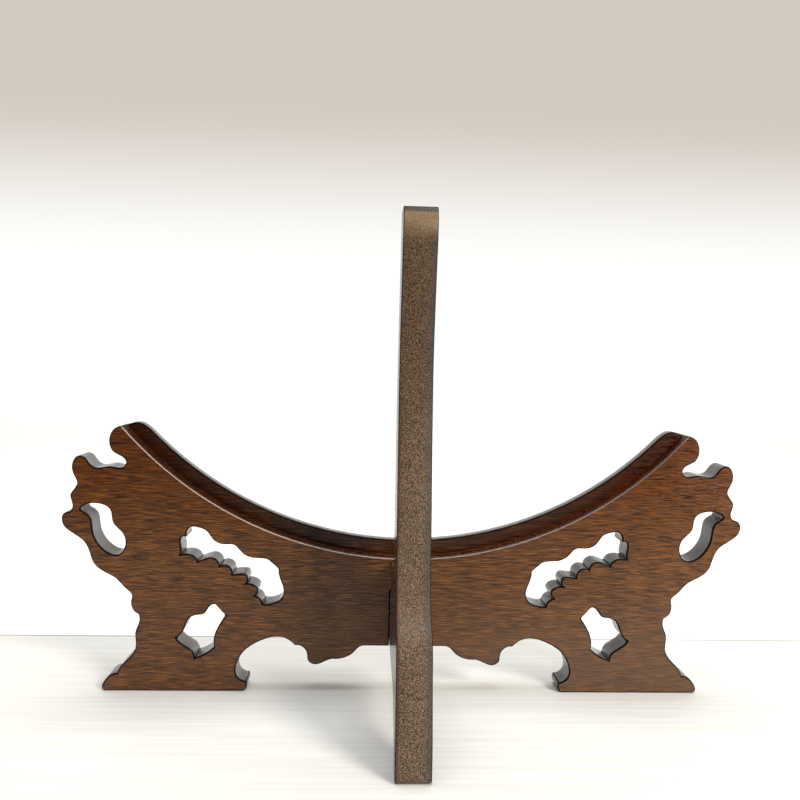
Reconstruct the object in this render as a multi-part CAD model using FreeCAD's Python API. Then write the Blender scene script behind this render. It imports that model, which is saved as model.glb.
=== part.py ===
"""Plate display stand: a fretted front panel and a back leg that cross in a halved joint.

Millimetres, +Z up, the plate facing -Y.  X is measured from the centre line of the stand.
The feet stand on Z = 0 and the origin is under the middle of the bounding box.
"""
import FreeCAD
import Part
import os

# front panel
PANEL_T = 12.0            # board thickness
LIP_T = 5.5               # thickness left in the lip in front of the plate
SEAT_Z = 61.2             # bottom of the plate seat on the centre line
SEAT_R = 166.6            # radius of the plate seat
LIP_Z = 68.2              # bottom of the lip's top edge on the centre line
LIP_R = 160.0             # radius of the lip's top edge
LIP_END_X = 115.0         # where the lip's arc runs into the rounded wing tip
SEAT_EASE = 0.4           # sanded bevel along the back edge of the seat

# back leg
LEG_T = 13.5              # board thickness
LEG_TOP_Z = 210.0
ARM_BELLY_Z = 21.2        # underside of the arm, level with the panel's underside
ARM_TOP_Z = 60.0          # top of the arm behind the panel
NOSE_TOP_Z = 56.4         # top of the nose in front of the panel
NOSE_REACH = 9.0          # how far the nose stands in front of the panel
FOOT_REACH = 77.0         # rear foot, measured back from the panel

# halved joint
JOINT_Z = 46.5            # the panel's notch sits down on the leg's slot here
SIDE_GAP = 0.15           # each side of the leg in the panel's notch
FACE_GAP = 0.15           # each face of the panel in the leg's slot

# the panel's rear face, placed so that the bounding box is centred on Y = 0
PANEL_BACK_Y = -(FOOT_REACH - PANEL_T - FACE_GAP - NOSE_REACH) / 2.0

# Half of the panel's silhouette, as (X, Z).  Each stretch is one smooth run and the
# stretches meet in corners.  It starts under the joint and ends at the wing tip.
UNDERSIDE = [(0.0, ARM_BELLY_Z), (18.4, ARM_BELLY_Z)]
HOLLOW = [(18.4, ARM_BELLY_Z), (20.5, 20.4), (23.4, 17.5), (27.2, 15.5), (32.6, 15.0)]
DROP = [(32.6, 15.0), (36.3, 13.5), (40.3, 12.4), (43.2, 14.0), (43.8, 17.6), (45.6, 20.2),
        (49.2, 21.1)]
ARCH = [(49.2, 21.1), (51.8, 23.4), (55.8, 25.0), (61.5, 24.3), (67.3, 21.8), (72.4, 17.8),
        (75.1, 12.6), (75.3, 7.6), (73.4, 5.4), (70.7, 4.7)]
INNER_TOE = [(70.7, 4.7), (70.5, 3.0), (71.0, 1.0), (72.5, 0.0)]
SOLE = [(72.5, 0.0), (133.4, 0.0)]
OUTER_TOE = [(133.4, 0.0), (134.7, 1.3), (133.2, 5.0), (131.2, 7.0), (127.9, 7.9)]
SHANK = [(127.9, 7.9), (125.6, 12.2), (121.2, 16.9), (119.8, 20.6), (120.0, 26.6), (118.3, 31.4),
         (118.6, 34.9)]
CHEST = [(118.6, 34.9), (121.4, 37.6), (121.9, 40.6), (121.5, 43.4), (124.4, 46.6), (128.3, 50.8),
         (133.9, 54.0), (138.2, 57.8), (140.0, 62.8), (142.0, 67.0)]
JAW = [(142.0, 67.0), (147.2, 71.0), (151.5, 75.2), (151.6, 79.0), (148.6, 80.5)]
BROW = [(148.6, 80.5), (147.2, 83.8), (148.1, 88.0), (145.2, 93.0), (146.7, 97.2), (147.0, 102.8),
        (144.6, 105.4), (141.4, 104.4), (139.2, 101.5), (136.4, 100.2), (131.2, 101.0), (126.2, 100.4),
        (123.9, 102.6)]
CREST = [(123.9, 102.6), (125.4, 105.0), (129.4, 107.3), (131.3, 112.3), (129.6, 117.0), (125.4, 118.8)]

# The openings sawn through each half of the panel.
MANE = [
    [(54.6, 46.4), (55.7, 50.0), (56.7, 52.8), (56.9, 56.0)],
    [(56.9, 56.0), (61.6, 60.1)],
    [(61.6, 60.1), (64.8, 60.7), (68.6, 60.9), (73.3, 63.2), (76.8, 66.6), (81.0, 66.8), (85.8, 68.7),
     (89.4, 73.1), (92.0, 74.1), (96.0, 74.3), (97.4, 72.6), (97.4, 70.0)],
    [(97.4, 70.0), (99.8, 69.6), (100.2, 67.2), (99.8, 64.8), (100.1, 62.1)],
    [(100.1, 62.1), (97.0, 62.4), (94.2, 61.5), (92.6, 59.1)],
    [(92.6, 59.1), (89.8, 60.2), (86.2, 60.8), (84.0, 59.6), (82.9, 57.2)],
    [(82.9, 57.2), (79.6, 57.4), (78.0, 56.2), (77.3, 53.4)],
    [(77.3, 53.4), (74.0, 53.7), (71.2, 53.2), (70.4, 51.6), (71.1, 49.3)],
    [(71.1, 49.3), (68.2, 48.9), (66.2, 47.4), (67.2, 43.8)],
    [(67.2, 43.8), (64.9, 42.4), (63.8, 40.0)],
    [(63.8, 40.0), (59.6, 40.3), (56.2, 42.0), (54.6, 46.4)],
]
SHOULDER = [
    [(93.7, 15.2), (95.2, 18.7), (98.4, 20.9), (101.9, 24.3)],
    [(101.9, 24.3), (98.2, 29.2), (95.6, 33.7), (93.4, 34.6), (89.8, 35.3), (87.4, 38.6), (84.8, 39.6)],
    [(84.8, 39.6), (80.2, 34.6)],
    [(80.2, 34.6), (83.2, 30.0), (85.2, 25.2), (85.2, 20.2)],
    [(85.2, 20.2), (89.4, 17.1), (93.7, 15.2)],
]
MOUTH = [
    [(124.6, 65.2), (124.3, 67.4), (125.6, 71.4), (129.8, 76.2), (130.8, 81.4), (137.4, 84.5),
     (142.2, 83.5)],
    [(142.2, 83.5), (143.6, 81.6), (141.0, 79.8), (139.0, 76.6), (138.4, 71.8), (136.0, 66.4),
     (131.4, 62.4), (128.4, 61.6), (124.6, 65.2)],
]

# The leg's side view, as (distance back from the panel's rear face, Z), once round
# from the sole.  The slot that takes the panel is open at the top.
SLOT_FRONT = -(PANEL_T + FACE_GAP)
NOSE_TIP = SLOT_FRONT - NOSE_REACH
LEG_SIDE = [
    [(75.6, 0.0), (68.0, 0.0)],
    [(68.0, 0.0), (63.4, 7.6), (57.0, 14.6), (48.6, 19.7), (40.0, ARM_BELLY_Z)],
    [(40.0, ARM_BELLY_Z), (NOSE_TIP + 4.0, ARM_BELLY_Z)],
    [(NOSE_TIP + 4.0, ARM_BELLY_Z), (NOSE_TIP + 1.0, 23.2), (NOSE_TIP, 27.0)],
    [(NOSE_TIP, 27.0), (NOSE_TIP, 50.0)],
    [(NOSE_TIP, 50.0), (NOSE_TIP + 2.4, 55.0), (SLOT_FRONT - 1.6, NOSE_TOP_Z)],
    [(SLOT_FRONT - 1.6, NOSE_TOP_Z), (SLOT_FRONT, NOSE_TOP_Z)],
    [(SLOT_FRONT, NOSE_TOP_Z), (SLOT_FRONT, JOINT_Z)],
    [(SLOT_FRONT, JOINT_Z), (FACE_GAP, JOINT_Z)],
    [(FACE_GAP, JOINT_Z), (FACE_GAP, ARM_TOP_Z)],
    [(FACE_GAP, ARM_TOP_Z), (11.0, ARM_TOP_Z)],
    [(11.0, ARM_TOP_Z), (21.0, 64.5), (24.8, 75.0), (23.8, 92.0), (21.2, 120.0), (20.8, 148.0),
     (23.6, 178.0), (26.6, 203.0), (27.6, LEG_TOP_Z)],
    [(27.6, LEG_TOP_Z), (42.4, LEG_TOP_Z)],
    [(42.4, LEG_TOP_Z), (44.2, 206.6), (43.8, 192.0), (40.2, 172.0), (38.2, 150.0), (40.4, 128.0),
     (44.6, 104.0), (48.6, 84.0), (52.0, 64.0), (57.4, 54.8), (66.4, 47.6), (69.6, 37.0),
     (73.6, 22.0), (76.6, 10.0), (FOOT_REACH, 2.6)],
    [(FOOT_REACH, 2.6), (76.8, 0.9), (75.6, 0.0)],
]


def edge(points):
    """A straight edge through two points, or one smooth edge through more."""
    if len(points) == 2:
        return Part.makeLine(*points)
    curve = Part.BSplineCurve()
    curve.interpolate(points)
    return curve.toShape()


def across(stretch, y):
    """Panel outline points, in the upright plane at Y = y."""
    return [FreeCAD.Vector(x, y, z) for x, z in stretch]


def along(stretch, x):
    """Leg outline points, in the upright plane at X = x."""
    return [FreeCAD.Vector(x, PANEL_BACK_Y + back, z) for back, z in stretch]


def dip_height(x, radius, bottom):
    """Height of a circular dip's edge, at a distance x from the centre line."""
    return bottom + radius - (radius ** 2 - x ** 2) ** 0.5


def lip_arc(y):
    """The lip's top edge, from the wing tip in to the centre line."""
    ends = []
    for x in (LIP_END_X, LIP_END_X / 2.0, 0.0):
        ends.append(FreeCAD.Vector(x, y, dip_height(x, LIP_R, LIP_Z)))
    return Part.Arc(*ends).toShape()


def wing_tip():
    """Rounded end of the wing, between the crest and the lip's arc."""
    end = dip_height(LIP_END_X, LIP_R, LIP_Z)
    return [CREST[-1], (123.0, 119.6), (120.0, 119.9), (117.4, 118.8), (LIP_END_X, end)]


def half_silhouette(y):
    runs = [UNDERSIDE, HOLLOW, DROP, ARCH, INNER_TOE, SOLE, OUTER_TOE,
            SHANK, CHEST, JAW, BROW, CREST, wing_tip()]
    edges = [edge(across(run, y)) for run in runs]
    edges.append(lip_arc(y))
    edges.append(Part.makeLine(FreeCAD.Vector(0, y, LIP_Z), FreeCAD.Vector(0, y, UNDERSIDE[0][1])))
    return Part.Wire(edges)


def sawn_opening(runs, y):
    return Part.Wire([edge(across(run, y)) for run in runs])


def both_sides(shape):
    """A shape and its mirror image across the centre line, as one."""
    twin = shape.mirror(FreeCAD.Vector(0, 0, 0), FreeCAD.Vector(1, 0, 0))
    return shape.fuse(twin)


def fretted_board():
    """The panel's board, sawn to its outline and pierced."""
    front = PANEL_BACK_Y - PANEL_T
    thickness = FreeCAD.Vector(0, PANEL_T, 0)
    half = Part.Face(half_silhouette(front)).extrude(thickness)
    for runs in (MANE, SHOULDER, MOUTH):
        half = half.cut(Part.Face(sawn_opening(runs, front)).extrude(thickness))
    return both_sides(half).removeSplitter()


def plate_seat():
    """Round cutter that leaves the seat and the lip, with the bevel along the seat's edge."""
    depth = PANEL_T - LIP_T
    backward = FreeCAD.Vector(0, 1, 0)
    centre = FreeCAD.Vector(0, PANEL_BACK_Y - depth, SEAT_Z + SEAT_R)
    cutter = Part.makeCylinder(SEAT_R, depth + 1.0, centre, backward)
    rise = 2.0 * SEAT_EASE
    bevel_base = FreeCAD.Vector(0, PANEL_BACK_Y - SEAT_EASE, SEAT_Z + SEAT_R)
    bevel = Part.makeCone(SEAT_R, SEAT_R + rise, rise, bevel_base, backward)
    return cutter.fuse(bevel)


def panel_notch():
    """Cutter for the notch that opens at the panel's lower edge and takes the leg."""
    width = LEG_T + 2.0 * SIDE_GAP
    corner = FreeCAD.Vector(-width / 2.0, PANEL_BACK_Y - PANEL_T - 1.0, 0.0)
    return Part.makeBox(width, PANEL_T + 2.0, JOINT_Z, corner)


def front_panel():
    return fretted_board().cut(plate_seat()).cut(panel_notch())


def back_leg():
    outline = Part.Wire([edge(along(run, -LEG_T / 2.0)) for run in LEG_SIDE])
    return Part.Face(outline).extrude(FreeCAD.Vector(LEG_T, 0, 0))


def main():
    os.makedirs("parts", exist_ok=True)
    front_panel().exportStep("parts/front_panel.step")
    back_leg().exportStep("parts/back_leg.step")


main()
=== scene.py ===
"""Looks of the plate display stand: satin lacquer over dark brown wood, on a pale table top."""
import bpy
import math
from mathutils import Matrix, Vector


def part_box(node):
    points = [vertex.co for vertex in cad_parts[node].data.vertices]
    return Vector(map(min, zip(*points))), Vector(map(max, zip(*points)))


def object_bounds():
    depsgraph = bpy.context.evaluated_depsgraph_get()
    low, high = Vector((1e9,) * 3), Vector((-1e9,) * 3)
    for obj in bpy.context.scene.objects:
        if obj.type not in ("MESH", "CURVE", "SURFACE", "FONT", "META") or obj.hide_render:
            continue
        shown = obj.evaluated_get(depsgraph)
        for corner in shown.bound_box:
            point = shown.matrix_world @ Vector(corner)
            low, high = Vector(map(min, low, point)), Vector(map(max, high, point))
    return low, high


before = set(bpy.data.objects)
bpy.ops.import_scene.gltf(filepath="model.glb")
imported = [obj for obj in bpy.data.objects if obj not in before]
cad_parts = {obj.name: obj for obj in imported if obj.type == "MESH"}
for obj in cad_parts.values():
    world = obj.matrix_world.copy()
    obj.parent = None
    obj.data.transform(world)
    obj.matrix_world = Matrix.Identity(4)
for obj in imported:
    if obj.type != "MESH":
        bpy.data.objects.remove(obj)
cad_low, cad_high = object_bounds()

# camera, in metres and degrees
CAMERA_AT = (0.0200, 0.3241, 0.1573)
CAMERA_TURN = (85.99, -1.33, 177.58)
CAMERA_LENS = 36.0

# stage
BACKDROP_Y = -1.2
SHADE_LINE_Y = -0.094            # painted shade: a dark strip where a wall's foot would meet the table, between the near and the far white board
SHADE_LINE_WIDTH = 0.0012
TABLE_SPAN = 6.0

# eased edges of the boards
PANEL_EASE = 0.0006
LEG_EASE = 0.0008
EASE_ANGLE = 50.0          # arrises gentler than this keep the CAD's own shape

# the round seat cut into the panel's rear side, in front of which the lip is left
SEAT_CENTRE = (0.0, 0.0, 0.2278)
SEAT_RADIUS = 0.1666
SEAT_LINE = 0.0002         # half width of the line rubbed pale along the seat's edge
LIP_THICKNESS = 0.0055
SKIN = 0.0003              # points this close to a surface count as on it
CORNER = 0.0010            # reach of the soft corner between the seat and the lip

PANEL_LOW, PANEL_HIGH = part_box("front_panel")
LEG_LOW, LEG_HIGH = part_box("back_leg")
LIP_FACE_Y = PANEL_LOW.y + LIP_THICKNESS


# ---- node helpers ----

def feed(tree, socket, value):
    """Links a socket into another, or sets it to a plain value."""
    if isinstance(value, bpy.types.NodeSocket):
        tree.links.new(value, socket)
    else:
        socket.default_value = value


def maths(tree, operation, a, b=0.0):
    node = tree.nodes.new("ShaderNodeMath")
    node.operation = operation
    feed(tree, node.inputs[0], a)
    feed(tree, node.inputs[1], b)
    return node.outputs[0]


def clamped(tree, operation, a, b=0.0):
    value = maths(tree, operation, a, b)
    value.node.use_clamp = True
    return value


def both(tree, a, b):
    """Product of two masks, or a mask scaled by an amount."""
    return maths(tree, "MULTIPLY", a, b)


def other(tree, mask):
    return maths(tree, "SUBTRACT", 1.0, mask)


def vector_maths(tree, operation, a, b):
    node = tree.nodes.new("ShaderNodeVectorMath")
    node.operation = operation
    feed(tree, node.inputs[0], a)
    feed(tree, node.inputs[1], b)
    return node.outputs[0]


def spread(tree, value, low, high, out_low=0.0, out_high=1.0):
    """Maps low..high of a value smoothly onto out_low..out_high."""
    node = tree.nodes.new("ShaderNodeMapRange")
    node.interpolation_type = "SMOOTHSTEP"
    feed(tree, node.inputs["Value"], value)
    node.inputs["From Min"].default_value = low
    node.inputs["From Max"].default_value = high
    node.inputs["To Min"].default_value = out_low
    node.inputs["To Max"].default_value = out_high
    return node.outputs["Result"]


def blend(tree, a, b, amount, kind="MIX"):
    """Mixes colour b into colour a."""
    node = tree.nodes.new("ShaderNodeMix")
    node.data_type = "RGBA"
    node.blend_type = kind
    colours = [socket for socket in node.inputs if socket.type == "RGBA"]
    feed(tree, node.inputs["Factor"], amount)
    feed(tree, colours[0], a)
    feed(tree, colours[1], b)
    return [socket for socket in node.outputs if socket.type == "RGBA"][0]


def split(tree, vector):
    node = tree.nodes.new("ShaderNodeSeparateXYZ")
    feed(tree, node.inputs[0], vector)
    return node.outputs


def noise(tree, coords, per_metre, detail=3.0, roughness=0.5):
    """Noise whose features are 1/per_metre long along X, Y and Z."""
    node = tree.nodes.new("ShaderNodeTexNoise")
    node.inputs["Scale"].default_value = 1.0
    node.inputs["Detail"].default_value = detail
    node.inputs["Roughness"].default_value = roughness
    feed(tree, node.inputs["Vector"], vector_maths(tree, "MULTIPLY", coords, per_metre))
    return node.outputs[0]


def bump(tree, height, distance, strength):
    node = tree.nodes.new("ShaderNodeBump")
    node.inputs["Distance"].default_value = distance
    node.inputs["Strength"].default_value = strength
    feed(tree, node.inputs["Height"], height)
    return node.outputs[0]


def start_material(name):
    material = bpy.data.materials.new(name)
    material.use_nodes = True
    tree = material.node_tree
    tree.nodes.clear()
    return material, tree


def finish_material(tree, colour, roughness, normal, specular):
    shader = tree.nodes.new("ShaderNodeBsdfPrincipled")
    feed(tree, shader.inputs["Base Color"], colour)
    feed(tree, shader.inputs["Roughness"], roughness)
    feed(tree, shader.inputs["Normal"], normal)
    shader.inputs["Specular IOR Level"].default_value = specular
    output = tree.nodes.new("ShaderNodeOutputMaterial")
    tree.links.new(shader.outputs[0], output.inputs[0])


def grain_coords(tree, sway):
    """Object coordinates, swayed a little so that the grain lines wander."""
    coords = tree.nodes.new("ShaderNodeTexCoord").outputs["Object"]
    drift = tree.nodes.new("ShaderNodeTexNoise")
    drift.inputs["Scale"].default_value = 14.0
    drift.inputs["Detail"].default_value = 1.0
    feed(tree, drift.inputs["Vector"], coords)
    centred = vector_maths(tree, "SUBTRACT", drift.outputs["Color"], (0.5, 0.5, 0.5))
    swayed = vector_maths(tree, "ADD", coords, vector_maths(tree, "MULTIPLY", centred, sway))
    return coords, swayed


def nicks(tree, coords, per_metre, size):
    """A few tiny pale nicks where the lacquer is chipped."""
    cells = tree.nodes.new("ShaderNodeTexVoronoi")
    cells.inputs["Scale"].default_value = per_metre
    feed(tree, cells.inputs["Vector"], coords)
    here = maths(tree, "LESS_THAN", cells.outputs["Distance"], size)
    chosen = maths(tree, "GREATER_THAN", noise(tree, coords, (40.0, 40.0, 40.0)), 0.56)
    return both(tree, here, chosen)


# ---- wood ----

def facing_along(tree, axis, low=0.6, high=0.9):
    """1 where the surface faces along an axis, 0 where it faces across it."""
    normal = split(tree, tree.nodes.new("ShaderNodeNewGeometry").outputs["Normal"])[axis]
    return spread(tree, maths(tree, "ABSOLUTE", normal), low, high)


def seat_distance(tree, coords):
    """How far a point stands outside the round seat's surface."""
    node = tree.nodes.new("ShaderNodeVectorMath")
    node.operation = "DISTANCE"
    feed(tree, node.inputs[0], vector_maths(tree, "MULTIPLY", coords, (1.0, 0.0, 1.0)))
    node.inputs[1].default_value = SEAT_CENTRE
    return maths(tree, "SUBTRACT", node.outputs["Value"], SEAT_RADIUS)


def rebate_mask(tree, y, off_seat):
    """1 on the seat's surface and on the lip's rear face."""
    facing = split(tree, tree.nodes.new("ShaderNodeNewGeometry").outputs["Normal"])[1]
    lip_face = both(tree, maths(tree, "LESS_THAN", y, LIP_FACE_Y + 0.0008),
                    maths(tree, "GREATER_THAN", facing, 0.4))
    near = maths(tree, "LESS_THAN", maths(tree, "ABSOLUTE", off_seat), SKIN)
    seat = both(tree, near, maths(tree, "LESS_THAN", y, PANEL_HIGH.y - 0.0004))
    return clamped(tree, "ADD", lip_face, seat)


def seat_line(tree, y, off_seat):
    """1 on a thin pale line along the seat's rear edge."""
    from_line = maths(tree, "ABSOLUTE", maths(tree, "SUBTRACT", off_seat, SEAT_LINE / 2))
    return both(tree, maths(tree, "LESS_THAN", from_line, SEAT_LINE),
                maths(tree, "GREATER_THAN", y, PANEL_HIGH.y - PANEL_EASE))


def inner_corner(tree, y, off_seat):
    """1 in the corner between the seat and the lip, which is not an outer arris."""
    return both(tree, maths(tree, "LESS_THAN", maths(tree, "ABSOLUTE", off_seat), CORNER),
                maths(tree, "LESS_THAN", y, LIP_FACE_Y + CORNER))


def panel_wood(name, shade, specular):
    """Horizontal grain: short dark pores and pale threads, in bands, warmer towards -X."""
    material, tree = start_material(name)
    coords, swayed = grain_coords(tree, (0.0, 0.0, 0.0035))
    x, y, z = split(tree, coords)
    on_face = facing_along(tree, 1)
    off_seat = seat_distance(tree, coords)
    pores = spread(tree, noise(tree, swayed, (130.0, 600.0, 4400.0), 1.0, 0.6), 0.44, 0.58)
    threads = spread(tree, noise(tree, swayed, (100.0, 500.0, 3800.0), 1.0, 0.6), 0.48, 0.64)
    bands = spread(tree, noise(tree, swayed, (14.0, 60.0, 380.0), 3.0, 0.6), 0.3, 0.7)
    clouds = spread(tree, noise(tree, coords, (22.0, 22.0, 45.0), 2.0), 0.3, 0.7)
    warm = spread(tree, x, 0.10, -0.12)
    body = blend(tree, (0.105, 0.034, 0.0060, 1), (0.175, 0.060, 0.0100, 1), bands)
    body = blend(tree, body, (0.235, 0.078, 0.0090, 1), both(tree, warm, 0.40))
    body = blend(tree, body, (0.062, 0.021, 0.0050, 1), both(tree, clouds, 0.30))
    body = blend(tree, body, (0.370, 0.140, 0.0300, 1), both(tree, threads, 0.66))
    body = blend(tree, body, (0.012, 0.004, 0.0014, 1), both(tree, pores, 0.82))
    # darker and redder towards the top of the wings; towards the feet a painted reflection of the floor
    # greys the wood
    body = blend(tree, body, (0.82, 0.60, 0.22, 1), spread(tree, z, 0.06, 0.11), "MULTIPLY")
    painted_floor_reflection = both(tree, spread(tree, z, 0.06, 0.005), spread(tree, x, 0.12, -0.12, 0.05, 0.45))
    body = blend(tree, body, (0.150, 0.100, 0.068, 1), painted_floor_reflection)
    # seat and lip's rear face: darker, redder lacquer, with painted shade of the recess multiplied in
    rebate = rebate_mask(tree, y, off_seat)
    recess_lacquer_and_shade = blend(tree, (0.34, 0.27, 0.32, 1), (0.50, 0.36, 0.38, 1), warm)
    body = blend(tree, body, recess_lacquer_and_shade, rebate, "MULTIPLY")
    # sawn walls: darker, cooler wood, with a painted grey reflection of the pale room mixed into their
    # colour
    sawn = both(tree, other(tree, on_face), other(tree, rebate))
    body = blend(tree, body, (0.30, 0.36, 0.50, 1), sawn, "MULTIPLY")
    body = blend(tree, body, (0.190, 0.188, 0.198, 1), both(tree, sawn, 0.62))
    outer = other(tree, inner_corner(tree, y, off_seat))
    body = blend(tree, body, (shade, shade, shade, 1), outer, "MULTIPLY")
    # a thin pale line along the seat's rear edge, strong towards +X, faint towards -X
    pale_seat_line = both(tree, seat_line(tree, y, off_seat), spread(tree, x, -0.03, 0.09, 0.05, 0.85))
    body = blend(tree, body, (0.44, 0.30, 0.22, 1), pale_seat_line)
    body = blend(tree, body, (0.55, 0.36, 0.22, 1), nicks(tree, coords, 70.0, 0.022))
    satin = spread(tree, maths(tree, "ADD", pores, clouds), 0.0, 2.0, 0.20, 0.34)
    roughness = both(tree, satin, spread(tree, on_face, 0.0, 1.0, 0.75, 1.0))
    saw_marks = both(tree, noise(tree, coords, (420.0, 16.0, 420.0), 1.0), other(tree, on_face))
    relief = maths(tree, "ADD", both(tree, pores, -0.5), saw_marks)
    finish_material(tree, body, roughness, bump(tree, relief, 0.00014, 0.4), specular)
    return material


def leg_wood(name, shade, specular):
    """Upright grain, paler and greyer than the panel, thick with fine pale and dark flecks."""
    material, tree = start_material(name)
    coords, swayed = grain_coords(tree, (0.003, 0.003, 0.0))
    x, y, z = split(tree, coords)
    side = facing_along(tree, 0)
    pores = spread(tree, noise(tree, swayed, (3100.0, 2600.0, 1500.0), 1.0, 0.6), 0.45, 0.57)
    flecks = spread(tree, noise(tree, swayed, (3600.0, 3400.0, 2300.0), 0.0, 0.6), 0.50, 0.62)
    bands = spread(tree, noise(tree, swayed, (300.0, 160.0, 14.0), 3.0), 0.32, 0.68)
    clouds = spread(tree, noise(tree, coords, (60.0, 30.0, 28.0), 2.0), 0.3, 0.7)
    low = spread(tree, z, 0.19, 0.06)
    body = blend(tree, (0.105, 0.058, 0.028, 1), (0.140, 0.080, 0.044, 1), bands)
    # painted light: paler and greyer towards the foot, as the light falls unevenly down the leaning face
    body = blend(tree, body, (0.185, 0.124, 0.082, 1), both(tree, low, 0.75))
    body = blend(tree, body, (0.080, 0.050, 0.030, 1), both(tree, clouds, 0.40))
    body = blend(tree, body, (0.016, 0.010, 0.007, 1), both(tree, pores, 0.84))
    flecked = both(tree, flecks, spread(tree, z, 0.19, 0.06, 0.50, 0.72))
    body = blend(tree, body, (0.580, 0.410, 0.250, 1), flecked)
    # the leg's tint, with painted shade darkening and reddening the top more than the foot
    tint_and_height_shade = blend(tree, (0.60, 0.50, 0.38, 1), (0.65, 0.60, 0.56, 1), low)
    body = blend(tree, body, tint_and_height_shade, 1.0, "MULTIPLY")
    # redder along the +X edge, greyer towards the -X edge
    ruddy = both(tree, spread(tree, x, LEG_HIGH.x - 0.0016, LEG_HIGH.x - 0.0008), low)
    body = blend(tree, body, (0.075, 0.022, 0.014, 1), both(tree, ruddy, 0.65))
    turned = spread(tree, x, LEG_LOW.x + 0.0040, LEG_LOW.x + 0.0008)
    body = blend(tree, body, (0.052, 0.046, 0.050, 1), both(tree, turned, 0.62))
    # painted light: the rounded top paler and yellower, as it catches more light from above
    painted_top_light = spread(tree, z, LEG_HIGH.z - 0.015, LEG_HIGH.z - 0.006)
    body = blend(tree, body, (0.330, 0.225, 0.115, 1), both(tree, painted_top_light, 0.55))
    # painted shade: a dark band along the very top edge
    painted_top_edge_shade = spread(tree, z, LEG_HIGH.z - 0.0026, LEG_HIGH.z - 0.0016)
    body = blend(tree, body, (0.020, 0.014, 0.010, 1), both(tree, painted_top_edge_shade, 0.8))
    body = blend(tree, body, (0.5, 0.40, 0.36, 1), side, "MULTIPLY")
    body = blend(tree, body, (shade, shade, shade, 1), 1.0, "MULTIPLY")
    satin = spread(tree, pores, 0.0, 1.0, 0.46, 0.62)
    roughness = both(tree, satin, spread(tree, side, 0.0, 1.0, 1.0, 0.36))
    sunk = both(tree, pores, -1.0)
    finish_material(tree, body, roughness, bump(tree, sunk, 0.0002, 0.5), specular)
    return material


def ease_edges(node, width, clamp, face_wood, edge_wood):
    """Rounds a board's sharp edges and gives the rounding a much darker colour, a dark line along each
    arris.
    """
    node.data.materials.clear()
    node.data.materials.append(face_wood)
    node.data.materials.append(edge_wood)
    weld = node.modifiers.new("weld", "WELD")
    weld.merge_threshold = 0.00001
    flatten = node.modifiers.new("flatten", "DECIMATE")
    flatten.decimate_type = "DISSOLVE"
    flatten.angle_limit = math.radians(0.5)
    ease = node.modifiers.new("ease", "BEVEL")
    ease.width = width
    ease.segments = 2
    ease.limit_method = "ANGLE"
    ease.angle_limit = math.radians(EASE_ANGLE)
    ease.use_clamp_overlap = clamp
    ease.material = 1
    ease.harden_normals = True


# ---- stage ----

def flat_card(name, corners):
    mesh = bpy.data.meshes.new(name)
    mesh.from_pydata(corners, [], [(0, 1, 2, 3)])
    card = bpy.data.objects.new(name, mesh)
    bpy.context.scene.collection.objects.link(card)
    return card


def table_material():
    """White painted board with a faint grain."""
    material, tree = start_material("pale_table")
    coords = tree.nodes.new("ShaderNodeTexCoord").outputs["Object"]
    lines = spread(tree, noise(tree, coords, (12.0, 420.0, 12.0), 3.0), 0.35, 0.65)
    colour = blend(tree, (0.90, 0.90, 0.87, 1), (0.83, 0.83, 0.79, 1), lines)
    finish_material(tree, colour, 0.5, bump(tree, lines, 0.0002, 0.2), specular=0.4)
    return material


def backdrop_material():
    """White low down, warm beige high up."""
    material, tree = start_material("pale_backdrop")
    coords = tree.nodes.new("ShaderNodeTexCoord").outputs["Object"]
    height = split(tree, coords)[2]
    colour = blend(tree, (0.98, 0.98, 0.96, 1), (0.62, 0.56, 0.50, 1), spread(tree, height, 0.28, 0.62))
    glow = tree.nodes.new("ShaderNodeEmission")
    feed(tree, glow.inputs["Color"], colour)
    glow.inputs["Strength"].default_value = 1.05
    output = tree.nodes.new("ShaderNodeOutputMaterial")
    tree.links.new(glow.outputs[0], output.inputs[0])
    return material


def far_material():
    """The white board beyond the painted shade line, glowing a little to meet the backdrop without a line.
    """
    material, tree = start_material("pale_far_board")
    shader = tree.nodes.new("ShaderNodeBsdfPrincipled")
    shader.inputs["Base Color"].default_value = (0.88, 0.87, 0.84, 1)
    shader.inputs["Roughness"].default_value = 0.6
    shader.inputs["Emission Color"].default_value = (1.0, 1.0, 0.98, 1)
    shader.inputs["Emission Strength"].default_value = 0.25
    output = tree.nodes.new("ShaderNodeOutputMaterial")
    tree.links.new(shader.outputs[0], output.inputs[0])
    return material


def plain_material(name, colour):
    """Flat matt colour, for the painted shade line and the dark room."""
    material, tree = start_material(name)
    shader = tree.nodes.new("ShaderNodeBsdfDiffuse")
    shader.inputs["Color"].default_value = colour
    output = tree.nodes.new("ShaderNodeOutputMaterial")
    tree.links.new(shader.outputs[0], output.inputs[0])
    return material


def level_strip(name, near, far, material):
    """A horizontal strip of the table across the stage, between two distances along Y."""
    half = TABLE_SPAN / 2
    corners = [(-half, far, 0), (half, far, 0), (half, near, 0), (-half, near, 0)]
    flat_card(name, corners).data.materials.append(material)


def make_stage():
    half = TABLE_SPAN / 2
    shade_line_far = SHADE_LINE_Y - SHADE_LINE_WIDTH
    level_strip("table_top", half, SHADE_LINE_Y, table_material())
    # painted shade of a wall's foot, as a dark strip across the table
    level_strip("table_shade_line", SHADE_LINE_Y, shade_line_far, plain_material("painted_corner_shade", (0.45, 0.43, 0.38, 1)))
    level_strip("table_far", shade_line_far, BACKDROP_Y, far_material())
    wall = [(-half, BACKDROP_Y, 0), (-half, BACKDROP_Y, half),
            (half, BACKDROP_Y, half), (half, BACKDROP_Y, 0)]
    flat_card("backdrop", wall).data.materials.append(backdrop_material())


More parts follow.
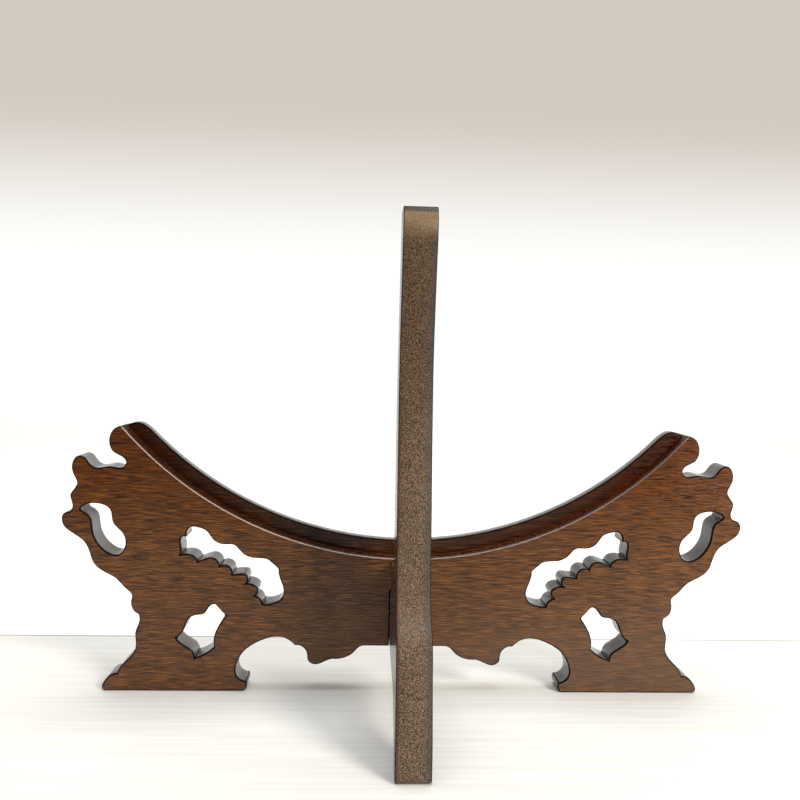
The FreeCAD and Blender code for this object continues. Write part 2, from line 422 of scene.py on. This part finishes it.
def dark_card(name, corners):
    """A dark room beyond the table: shows only in the gloss, never to the camera."""
    card = flat_card(name, corners)
    card.data.materials.append(plain_material(name, (0.02, 0.02, 0.02, 1)))
    card.visible_camera = False
    card.visible_diffuse = False
    card.visible_shadow = False


def make_dark_room():
    near, far, top, wide = 0.26, 1.6, 1.4, 2.0
    lift = 0.001
    dark_card("dark_low", [(-wide, near, lift), (wide, near, lift), (wide, far, lift), (-wide, far, lift)])
    dark_card("dark_high", [(-wide, far, 0), (wide, far, 0), (wide, far, top), (-wide, far, top)])


def soft_light(name, at, size, power, colour):
    lamp = bpy.data.lights.new(name, "AREA")
    lamp.size = size
    lamp.energy = power
    lamp.color = colour
    light = bpy.data.objects.new(name, lamp)
    light.location = at
    aim = (cad_low + cad_high) / 2 - light.location
    light.rotation_euler = aim.to_track_quat("-Z", "Y").to_euler()
    bpy.context.scene.collection.objects.link(light)


def make_lights():
    soft_light("key", (-0.92, 0.96, 0.88), 0.45, 18.5, (1.0, 0.94, 0.86))
    soft_light("overhead", (0.0, -0.1, 1.3), 0.9, 12.5, (0.98, 0.99, 1.0))
    world = bpy.data.worlds.new("studio")
    world.use_nodes = True
    sky = world.node_tree.nodes["Background"]
    sky.inputs["Color"].default_value = (0.90, 0.90, 0.90, 1)
    sky.inputs["Strength"].default_value = 0.22
    bpy.context.scene.world = world


def make_camera():
    lens = bpy.data.cameras.new("camera")
    lens.lens = CAMERA_LENS
    lens.sensor_width = 36.0
    lens.clip_start = 0.01
    camera = bpy.data.objects.new("camera", lens)
    camera.location = CAMERA_AT
    camera.rotation_euler = [math.radians(angle) for angle in CAMERA_TURN]
    bpy.context.scene.collection.objects.link(camera)
    bpy.context.scene.camera = camera


bpy.context.scene.view_settings.view_transform = "Standard"
make_camera()
make_stage()
make_dark_room()
make_lights()
ease_edges(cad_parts["front_panel"], PANEL_EASE, False,
           panel_wood("panel_face", 1.0, 0.4), panel_wood("panel_edge", 0.03, 0.1))
ease_edges(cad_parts["back_leg"], LEG_EASE, True,
           leg_wood("leg_face", 1.02, 0.42), leg_wood("leg_edge", 0.22, 0.2))
